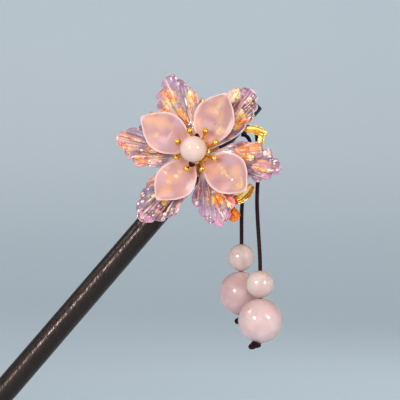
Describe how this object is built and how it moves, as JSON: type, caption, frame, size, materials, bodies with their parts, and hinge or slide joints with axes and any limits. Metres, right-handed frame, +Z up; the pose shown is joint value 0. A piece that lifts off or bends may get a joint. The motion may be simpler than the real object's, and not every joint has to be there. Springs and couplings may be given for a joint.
{
  "type": "hair stick",
  "caption": "Tapered dark wood hair stick with a glass flower on a gold-plated backing near its head, and beads hanging on cords beside it.",
  "frame": {"origin": "middle of the grip, on the axis of the stick, where the hair holds it", "axes": "+Z up as the tassels hang, the stick's axis in the plane Y = 0 and rising towards +X, and the flower facing -Y"},
  "size_m": [0.1261, 0.0294, 0.1449],
  "materials": {
    "dark_wood": "polished",
    "gold_plate": "polished gold plate",
    "lavender_glass": "clear gloss with foil flecks",
    "frosted_pink_glass": "frosted with foil flecks",
    "pale_quartz": "polished, milky",
    "dark_cord": "fine braid"
  },
  "bodies": {
    "root": {"stick": "dark_wood", "flower_post": "gold_plate", "gold_backing": "gold_plate", "leaf_petal_1": "lavender_glass", "leaf_petal_2": "lavender_glass", "leaf_petal_3": "lavender_glass", "leaf_petal_4": "lavender_glass", "leaf_petal_5": "lavender_glass", "leaf_petal_6": "lavender_glass", "frosted_petal_1": "frosted_pink_glass", "frosted_petal_2": "frosted_pink_glass", "frosted_petal_3": "frosted_pink_glass", "frosted_petal_4": "frosted_pink_glass", "stamen_crown": "gold_plate", "center_bead": "pale_quartz", "center_cord": "dark_cord", "cord_wrap": "dark_cord", "tassel_cord_left": "dark_cord", "small_bead_left": "pale_quartz", "large_bead_left": "pale_quartz", "knot_left": "dark_cord", "tassel_cord_right": "dark_cord", "small_bead_right": "pale_quartz", "large_bead_right": "pale_quartz", "knot_right": "dark_cord"}
  },
  "joints": []
}
